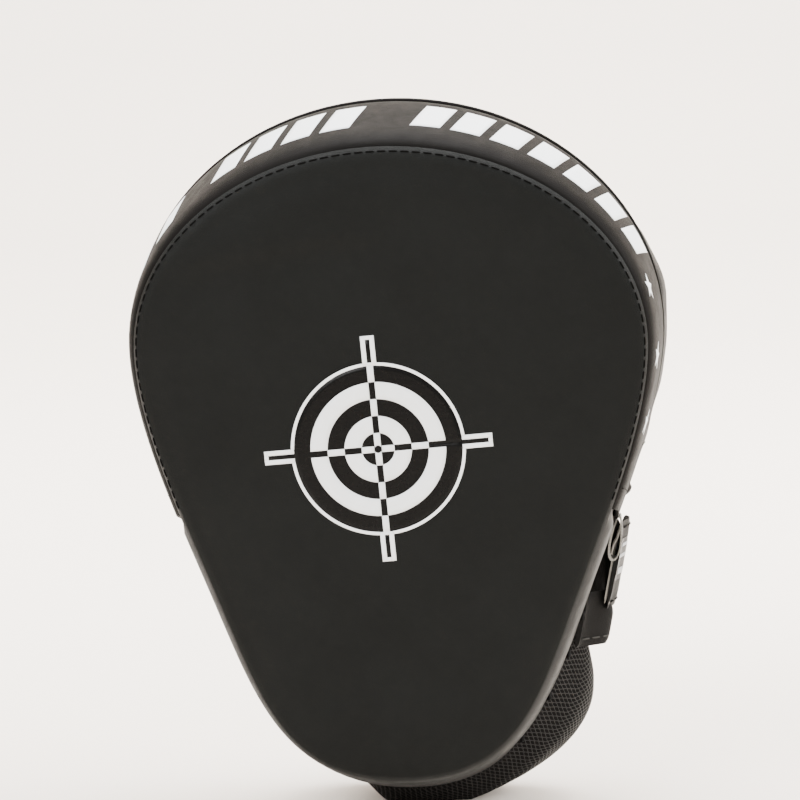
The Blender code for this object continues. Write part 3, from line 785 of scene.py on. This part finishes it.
def make_pocket():
    for name, inset, thickness, finish, slot in (
        ("hood_cover", 0.0, LEATHER, LEATHER_BACK, "black_leather"),
        ("hood_padding", 2.6, 5.2, SOFT_FOAM, "soft_foam"),
        ("hood_lining", 11.0, 1.0, POCKET_CLOTH, "pocket_lining"),):
        rows = hood_rows(inset)
        if name == "hood_cover":
            rows = dimple(rows, 0.55)
        mesh = grid(name, rows, centre=(0, 60, 20))
        obj = piece(name, mesh, finish, nodes=[name], slot=slot)
        thicken(obj, thickness)
    edge = np.array([row[-1] for row in hood_rows(5.8)])
    edge = resampled(np.concatenate([edge, edge[::-1] * (-1, 1, 1)]), 120)
    tube("pocket_binding", edge - (0, 0, 0.6), (6.7, 3.0), LEATHER_SATIN, sides=18, slot="satin_leather")
    line = np.array([row[-6] for row in hood_rows(-0.3)[:-2]])
    stitches = [line[1:-1], line[1:-1] * (-1, 1, 1)]
    dashes("binding_stitches", stitches, THREAD_BLACK, radius=0.35)
    centre_line = np.array([row[60] for row in hood_rows(0.0)])[3:-3]
    tube("pocket_ridge", centre_line + (0, 0.2, 0.1), (1.0, 0.5), LEATHER_BACK, sides=8, up=(1, 0, 0))


def arch(radius, leg, thickness):
    """A sleeve's end outline: legs and a half round, outside and then back inside."""
    turn = np.linspace(0.0, math.pi, 25)
    sides = []
    for r in (radius, radius - thickness):
        curve = np.stack([r * np.cos(turn), leg + r * np.sin(turn)], -1)
        foot = np.linspace(0.0, leg, 5)[:-1]
        right = np.stack([np.full(4, r), foot], -1)
        left = np.stack([np.full(4, -r), foot[::-1]], -1)
        sides.append(np.concatenate([right, curve, left]))
    return np.concatenate([sides[0], sides[1][::-1]])


def turned(offset, run, turn, across, height):
    """Across and height of a place beside a sleeve's middle line and along it."""
    x = across + offset * math.cos(turn) + run * math.sin(turn)
    return x, height - offset * math.sin(turn) + run * math.cos(turn)


def make_sleeve(name, across, height, radius, turn=0.0):
    length, leg, foot_depth = 30.0, 9.0, BACK_COVER_DEPTH + 0.4
    rows = []
    for share in np.linspace(-1, 1, 17):
        rolled = 0.5 * abs(share) ** 8
        flare = 0.7 * abs(share) ** 3 - 0.7
        outline = arch(radius + flare, leg, 1.7 - rolled)
        x, h = turned(outline[:, 0], share * length / 2, turn, across, height)
        rows.append(np.stack([x, foot_depth + outline[:, 1], h], -1))
    mesh = grid(name, rows, closed=True, caps=(0, -1))
    obj = piece(name, mesh, LEATHER_BACK, nodes=[name])
    outward(mesh, (across, foot_depth + leg + radius - 0.85, height))
    paths = []
    for side in (-1, 1):
        run = np.linspace(-length / 2 + 1, length / 2 - 1, 12)
        x, h = turned(side * (radius + 0.1), run, turn, across, height)
        paths.append(np.stack([x, np.full_like(run, foot_depth + 1.6), h], -1))
    dashes(f"{name}_stitches", paths, THREAD_BLACK, radius=0.32)
    return obj


def make_sleeves():
    for k, finger in enumerate(("little", "ring", "middle", "index")):
        make_sleeve(f"finger_sleeve_{finger}", (k - 1.5) * 24.0, 68.0, 11.0)
    make_sleeve("thumb_sleeve", 63.0, 24.0, 13.5, math.radians(20.0))


def puff(obj, pressure, most, voxel=4.0):
    """Runs a closed cushion as filled cloth. A point moves at most so many millimetres."""
    bpy.context.view_layer.objects.active = obj
    remesh = obj.modifiers.new("Remesh", "REMESH")
    remesh.mode = "VOXEL"
    remesh.voxel_size = voxel * MM
    graph = bpy.context.evaluated_depsgraph_get()
    mesh = bpy.data.meshes.new_from_object(obj.evaluated_get(graph))
    obj.modifiers.clear()
    obj.data = mesh
    start = np.array([v.co for v in mesh.vertices])
    fabric = obj.modifiers.new("Cloth", "CLOTH")
    fabric.settings.use_pressure = True
    fabric.settings.uniform_pressure_force = pressure
    fabric.settings.effector_weights.gravity = 0.0
    scene = bpy.context.scene
    for number in range(1, 16):
        scene.frame_set(number)
    graph = bpy.context.evaluated_depsgraph_get()
    swollen = np.array([v.co for v in obj.evaluated_get(graph).data.vertices])
    obj.modifiers.clear()
    move = swollen - start
    far = np.linalg.norm(move, axis=1)[:, None]
    move *= np.minimum(1.0, most * MM / np.maximum(far, 1e-9))
    mesh.vertices.foreach_set("co", (start + move).ravel())
    mesh.update()
    scene.frame_set(1)
    fine = obj.modifiers.new("Fine", "SUBSURF")
    fine.levels = fine.render_levels = 1


def make_palm_grip():
    """The half-egg cushion that the hand closes round, with a short cloth run."""
    rows = []
    for polar in np.linspace(0.06, math.pi / 2, 14):
        angles = np.linspace(0, 2 * math.pi, 48, endpoint=False)
        x = 31.5 * math.sin(polar) * np.cos(angles)
        z = 4.0 + 14.0 * math.sin(polar) * np.sin(angles)
        depth = np.full_like(x, BACK_COVER_DEPTH + 0.9 + 15.0 * math.cos(polar))
        rows.append(np.stack([x, depth, z], -1))
    mesh = grid("palm_grip", rows, closed=True, caps=(0, -1), centre=(0, 52, 4))
    obj = piece("palm_grip", mesh, LEATHER_BACK, body=None, nodes=["palm_grip"])
    puff(obj, 2.0, 1.2)
    if not obj.data.materials:
        obj.data.materials.append(LEATHER_BACK)
    obj.data.shade_smooth()
    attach(obj, "pad")
    rim = rows[-1] + (0, 0.6, 0)
    rim = np.concatenate([rim, rim[:1]])
    tube("palm_grip_piping", rim, (1.0, 1.0), LEATHER_SATIN, up=(0, 1, 0), slot="satin_leather")


# Cuff.


def cuff_ring(depth, inset=0.0):
    """The cuff's outline at a depth: straight on top, full round below, flat where it stands."""
    columns = list(zip(*CUFF_SECTIONS))
    top, shoulder, bulge, bottom, foot = (track(depth, columns[0], c) for c in columns[1:])
    top -= inset
    bottom += inset
    drop = 0.48 * (top - bottom)
    half = bezier((shoulder - inset, top), (bulge - inset, top - drop), (foot - inset, bottom),
        (0.0, bottom), 44,)
    lid = np.stack([np.linspace(0.0, shoulder - inset - 2.5, 12), np.full(12, top)], -1)
    half = np.concatenate([lid, half, [(0.0, bottom)]])
    outline = np.concatenate([half, (half[1:-1] * (-1, 1))[::-1]])
    outline[:, 1] = np.maximum(outline[:, 1], STAND[2] + max(inset, 0.0))
    x, z = outline[:, 0], outline[:, 1]
    little = x < 0.0
    lowest = max(bottom, STAND[2] + max(inset, 0.0))
    lifted = top - (top - z) * (top - CUFF_LITTLE_SIDE_BOTTOM - inset) / (top - lowest)
    slim = 1.0 - CUFF_LITTLE_SIDE_SLIM * np.clip((depth - 50.0) / 12.0, 0.0, 1.0)
    outline[:, 1] = np.where(little, z + (lifted - z) * smooth(9.0, 30.0, -x), z)
    outline[:, 0] = np.where(little, x * slim, x)
    return outline


def make_cuff():
    rows = []
    for depth, inset in (
        (46.9, 3.4), (48.5, 2.6), (49.5, 1.6), (50.3, 0.7), (51.2, 0.1), (52.5, -0.3), (55, -0.4), (58, -0.5),
        (61, -0.6), (65, -0.7), (69, -0.8), (73, -0.8), (77, -0.7), (81, -0.6), (84.5, -0.3),
        (87.5, 0.4), (89.3, 1.6), (90.4, 3.4), (91.0, 6.0), (91.4, 10.0), (91.6, 16.0),):
        outline = cuff_ring(min(depth, 90.0), inset)
        sewn = smooth(58.0, 50.0, depth) * smooth(49.0, 51.0, depth)
        puckers = 0.5 * sewn * np.sin(np.arange(len(outline)) * 0.9)
        rows.append(at_depth(outline, depth + puckers))
    mesh = grid("cuff_mesh_cover", rows, closed=True, caps=(-1,), centre=(0, 68, -115))
    obj = piece("cuff_mesh_cover", mesh, AIR_MESH, nodes=["cuff_mesh_cover"], slot="air_mesh")
    thicken(obj, 1.4)
    foam_rows = [at_depth(cuff_ring(d, i), d) for d, i in
        ((51.6, 6.0), (52.2, 4.4), (56, 3.8), (62, 3.8), (70, 3.8), (78, 3.8), (84, 3.9),
         (87, 5.5), (88, 9.0))]
    mesh = grid("cuff_foam", foam_rows, closed=True, caps=(0, -1), centre=(0, 68, -115))
    core = piece("cuff_foam", mesh, SOFT_FOAM, nodes=["cuff_foam"], slot="soft_foam")
    panel = [at_depth(cuff_ring(50.0, 4.0), d) for d in (49.8, 50.9)]
    mesh = grid("cuff_front_panel", panel, closed=True, caps=(0, -1), centre=(0, 50.4, -110))
    piece("cuff_front_panel", mesh, LEATHER_BACK, nodes=["cuff_front_panel"])
    make_cuff_edge()


def wall_edge(height, side, depth=48.6, out=0.0):
    """The place on the wall's back edge at a height."""
    outline = pad_outline(depth, -out)
    half = outline[: len(outline) // 2 + 1]
    lower = half[half[:, 1] < 20.0]
    x = np.interp(-height, -lower[:, 1], lower[:, 0])
    return np.array([side * x, depth, height])


def make_cuff_edge():
    """The lens-shaped gaps between the tacks: a thin grey edge on each, and the tacks."""
    marks = [-62.0, *TACK_HEIGHTS, -142.0]
    for side, side_name in ((-1, "left"), (1, "right")):
        lips = []
        for high, low in zip(marks, marks[1:]):
            lip = []
            for share in np.linspace(0.0, 1.0, 15):
                place = wall_edge(high + (low - high) * share, side, 48.4)
                bow = math.sin(share * math.pi)
                lip.append(place + (side * (-1.2 + 0.2 * bow), 1.0 + 2.2 * bow, 0.0))
            lips.append(np.array(lip))
        rows = [row for lip in lips for row in tube_rows(lip, (0.45, 0.9), 8, (0, 1, 0))]
        mesh = grid(f"cuff_lip_{side_name}", rows, closed=True, caps=(0, -1), centre=(0, 50, -100))
        piece(f"cuff_lip_{side_name}", mesh, THREAD_GREY, slot="thread", angle=0)
        for number, height in enumerate(TACK_HEIGHTS, start=1):
            make_tack(f"edge_tack_{side_name}_{number}", wall_edge(height, side, 48.6, 0.2))


def make_tack(name, middle):
    """A bar tack: six turns of thread over the edge."""
    rows = []
    angles = np.linspace(0, 2 * math.pi * 6, 85)
    for k, angle in enumerate(angles):
        run = (k / (len(angles) - 1) - 0.5) * 3.0
        rows.append(middle + (0.9 * math.cos(angle), 2.2 * math.sin(angle), run))
    tube(name, rows, (0.34, 0.34), THREAD_BLACK, sides=6, nodes=[name], slot="thread")


# Strap.


def strap_place(share, inset, height):
    """A place on the strap's arch. Share runs from -1 at the little-finger side to 1."""
    middle, lean = THUMB_SIDE if share > 0 else LITTLE_SIDE
    half_width = middle + (height - STRAP_MIDDLE) * lean
    angle = share * math.pi / 2
    across = (half_width - inset) * math.sin(angle)
    return np.array([across, STRAP_FOOT_DEPTH + (STRAP_REACH - inset) * math.cos(angle), height])


def strip(name, span, inset, thickness, low, high, finish, steps=60, corner=(0, 0), shape=None, **options):
    """A strap-like strip along the arch, with rounded edges. low and high may follow the share.
    corner rounds its first and last end. shape bends its places."""
    rows = []
    wide = 14
    arc = 1.5 * 75.0
    for share in np.linspace(span[0], span[1], steps):
        bottom = low(share) if callable(low) else low
        top = high(share) if callable(high) else high
        for end, radius in zip(span, corner):
            away = abs(share - end) * arc
            if radius and away < radius:
                cut = radius - math.sqrt(max(radius**2 - (radius - away) ** 2, 0.0))
                bottom, top = bottom + cut, top - cut
        ring = []
        for face, order in ((0, 1), (1, -1)):
            for t in np.linspace(1, -1, wide)[::order]:
                edge = 0.45 * thickness * abs(t) ** 8
                own = inset + (edge if face == 0 else thickness - edge)
                height = bottom + (top - bottom) * (t + 1) / 2
                place = strap_place(share, own, height)
                ring.append(shape(share, place) if shape else place)
        rows.append(ring)
    mesh = grid(name, rows, closed=True, caps=(0, -1))
    middle = rows[len(rows) // 2]
    outward(mesh, np.mean(middle, axis=0))
    return piece(name, mesh, finish, **options)


def strip_stitches(name, spans, inset, heights, finish=THREAD_BLACK, shape=None, **options):
    paths = []
    for (start, end), height in zip(spans, heights):
        shares = np.linspace(start, end, 40)
        line = [strap_place(s, inset, height) for s in shares]
        paths.append([shape(s, p) for s, p in zip(shares, line)] if shape else line)
    return dashes(name, paths, finish, length=3.0, gap=1.4, radius=0.34, **options)


def anchor_shape(share, place):
    """The anchor bulges out below the tab, and its foot turns in to the pad's edge."""
    place = place.copy()
    bulge = smooth(0.80, 0.85, share) * (1.0 - smooth(0.87, 0.975, share))
    place[0] += 4.6 * bulge * (1.0 - 0.7 * smooth(-80.0, -69.0, place[2]))
    place[0] -= 8.5 * smooth(0.86, 0.975, share)
    return place


def tab_shape(share, place):
    """The tab's free edge leans in over the pad's edge."""
    place = place.copy()
    place[0] -= 6.0 * smooth(0.80, 0.94, share)
    return place


def gusset_bottom(share):
    return float(np.interp(share, (-0.97, -0.9, -0.8, STRAP_HINGE), (-69, -75, -85, STRAP_BOTTOM)))


def anchor_top(share):
    return float(np.interp(share, (0.80, 0.86), (STRAP_TOP - 2.0, -69.0)))


def strap_blend(obj):
    """The strap is sewn at the little-finger side. This bakes the strap's placement into its mesh."""
    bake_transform(obj)


def tab_blend(obj):
    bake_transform(obj)


def make_strap():
    strap = strip("wrist_strap", (-0.97, TAB_HINGE - 0.01), 0.0, 2.6, gusset_bottom, STRAP_TOP,
        STRAP_LEATHER, 110, corner=(0, 6.0), body=None, nodes=["wrist_strap", "strap_gusset"])
    strap_blend(strap)
    lines = strip_stitches("strap_stitches", [(-0.94, 0.785), (-0.70, 0.785)], -0.1,
        [STRAP_TOP - 3.0, STRAP_BOTTOM + 3.0], body=None)
    strap_blend(lines)
    strip("strap_lining", (-0.60, 0.42), 3.3, 1.4, STRAP_BOTTOM + 3, STRAP_TOP - 3, POCKET_CLOTH, 60,
        body="wrist_strap", nodes=["strap_lining"], slot="pocket_lining")
    strip("hook_tape", (0.46, 0.78), 2.9, 0.8, STRAP_BOTTOM + 6, STRAP_TOP - 8, HOOK, 24,
        body="wrist_strap", nodes=["hook_tape"], slot="fastening_tape")
    strip("strap_anchor", (0.44, 0.975), 5.4, 2.0, STRAP_BOTTOM, anchor_top, STRAP_LEATHER, 50,
        corner=(5.0, 0), shape=anchor_shape, nodes=["strap_anchor"])
    strip_stitches("anchor_stitches", [(0.47, 0.97)], 5.3, [STRAP_BOTTOM + 3.2], THREAD_GREY, anchor_shape)
    strip("loop_tape", (0.46, 0.78), 4.3, 0.8, STRAP_BOTTOM + 6, STRAP_TOP - 8, LOOPS, 24,
        nodes=["loop_tape"], slot="fastening_tape")


def make_tab():
    tab = strip("pull_tab", (0.76, 0.94), -1.6, 1.5, -76.5, -41.5, STRAP_LEATHER, 30, corner=(3.0, 3.0),
        shape=tab_shape, body=None, nodes=["pull_tab"])
    tab_blend(tab)
    lines = strip_stitches("tab_stitches", [(0.77, 0.93)] * 2, -1.7, [-44.0, -74.0], shape=tab_shape, body=None)
    tab_blend(lines)
    strip("tab_lining", (TAB_HINGE + 0.01, 0.935), 0.2, 0.7, -74.0, -45.0, PALE_TAPE, 16, shape=tab_shape,
        body="pull_tab", nodes=["tab_lining"], slot="pale_tape")
    strip("tab_label", (0.845, 0.925), -2.0, 0.3, -65.5, -48.5, FILM_BLACK, 14, corner=(1.5, 1.5),
        shape=tab_shape, body="pull_tab", nodes=["tab_label"], slot="print_film")
    for number, (low, high) in enumerate(((-52.0, -50.6), (-56.4, -54.9), (-63.2, -60.6)), start=1):
        strip(f"label_bar_{number}", (0.855, 0.915 - 0.012 * (number % 2)), -2.12, 0.14, low, high,
            LABEL_WHITE, 10, shape=tab_shape, body="pull_tab", slot="print_film")
    make_tab_loop()


def make_tab_loop():
    """The folded loop of pale tape inside the tab's free edge, with a fold inside it."""
    top, bottom = np.array([84.2, -37.6]), np.array([80.6, -55.8])
    along = bottom - top
    side = np.array([-along[1], along[0]]) / np.linalg.norm(along)
    angles = np.linspace(0, 2 * math.pi, 49)[:-1]
    ring = []
    for angle in angles:
        run = 0.5 - 0.5 * math.cos(angle)
        swell = 2.5 * math.sin(angle) * (0.55 + 0.75 * run)
        ring.append(top + along * run - side * swell)
    ring = np.array(ring)
    inner = ring.mean(axis=0) + (ring - ring.mean(axis=0)) * (0.72, 0.90)
    depths = np.linspace(50.3, 56.2, 7)
    rows = [at_depth(ring, d) for d in depths] + [at_depth(inner, d) for d in depths[::-1]]
    rows.append(rows[0])
    mesh = grid("tab_loop", rows, closed=True)
    outward(mesh, (ring[:, 0].mean() + 2.6, 53.0, ring[:, 1].mean()))
    piece("tab_loop", mesh, PALE_TAPE, body="pull_tab", nodes=["tab_loop"], slot="pale_tape", angle=30)
    share = np.linspace(0, 1, 16)
    fold_height = -53.2 + 10.5 * share + 0.8 * np.sin(share * 2 * math.pi)
    fold = np.stack([80.4 + 3.6 * share, fold_height], -1)
    mesh = grid("tab_loop_fold", [at_depth(fold, d) for d in (50.9, 53.0, 56.0)])
    obj = piece("tab_loop_fold", mesh, PALE_TAPE, body="pull_tab", slot="pale_tape")
    thicken(obj, 0.6, 0.0)


# Studio.


def make_studio():
    """A pale floor and backdrop in one sweep, with a pale world and soft lights."""
    profile = [(-5.0, 0.0), (1.2, 0.0), (1.6, 0.03), (1.95, 0.16), (2.15, 0.45), (2.2, 0.9), (2.2, 3.2)]
    mesh = bpy.data.meshes.new("studio_floor")
    points = [(x, y, z) for y, z in profile for x in (-3.5, 3.5)]
    mesh.from_pydata(points, [], [(2 * k, 2 * k + 1, 2 * k + 3, 2 * k + 2) for k in range(len(profile) - 1)])
    mesh.shade_smooth()
    floor = bpy.data.objects.new("studio_floor", mesh)
    bpy.context.scene.collection.objects.link(floor)
    mesh.materials.append(plain("floor_paper", (0.90, 0.825, 0.745), 0.9))
    world = bpy.data.worlds.new("studio")
    bpy.context.scene.world = world
    world.use_nodes = True
    world.node_tree.nodes["Background"].inputs[0].default_value = (1.0, 0.945, 0.880, 1.0)
    world.node_tree.nodes["Background"].inputs[1].default_value = 1.4
    for name, place, aim, size, power in (("key_light", (-0.9, -1.3, 1.5), (0, 0, 0.15), 1.1, 55.0),
        ("rim_light", (1.25, 0.05, 0.75), (0, 0, 0.15), 0.9, 30.0),
        ("top_light", (0.1, 0.5, 1.7), (0, 0, 0.15), 1.2, 40.0),
        ("back_light", (0.0, 0.6, 1.6), (0, 2.2, 0.5), 2.0, 130.0),):
        lamp = bpy.data.lights.new(name, "AREA")
        lamp.size = size
        lamp.energy = power
        obj = bpy.data.objects.new(name, lamp)
        obj.location = place
        obj.rotation_euler = (Vector(aim) - Vector(place)).to_track_quat("-Z", "Y").to_euler()
        bpy.context.scene.collection.objects.link(obj)


def make_camera():
    """The view: a little from the thumb side and from above, tipped slightly."""
    yaw, elevation, roll = (math.radians(a) for a in (4.8, 9.8, 1.8))
    distance, scale = 1300.0, 2.66
    aim = np.array([-5.0, 0.0, 0.0])
    aim_off_centre = np.array([-21.5, 48.5])
    level = math.cos(elevation)
    back = np.array([math.sin(yaw) * level, -math.cos(yaw) * level, math.sin(elevation)])
    right = np.array([math.cos(yaw), math.sin(yaw), 0.0])
    up = np.cross(back, right)
    image_x = math.cos(roll) * right - math.sin(roll) * up
    image_y = math.sin(roll) * right + math.cos(roll) * up
    off = aim_off_centre / scale
    place = row_frame(aim + back * distance - image_x * off[0] + image_y * off[1])
    camera = bpy.data.cameras.new("camera")
    camera.sensor_width = 36.0
    camera.lens = scale * distance / 800.0 * 36.0
    obj = bpy.data.objects.new("camera", camera)
    turn = Matrix([[image_x[k], image_y[k], back[k]] for k in range(3)])
    obj.matrix_world = Matrix.Translation(place) @ turn.to_4x4()
    bpy.context.scene.collection.objects.link(obj)
    bpy.context.scene.camera = obj


make_camera()
make_studio()
make_front_cover()
make_band()
make_seam_stitches()
make_band_marks()
make_layers()
make_target()
make_pocket()
make_sleeves()
make_palm_grip()
make_cuff()
make_strap()
make_tab()
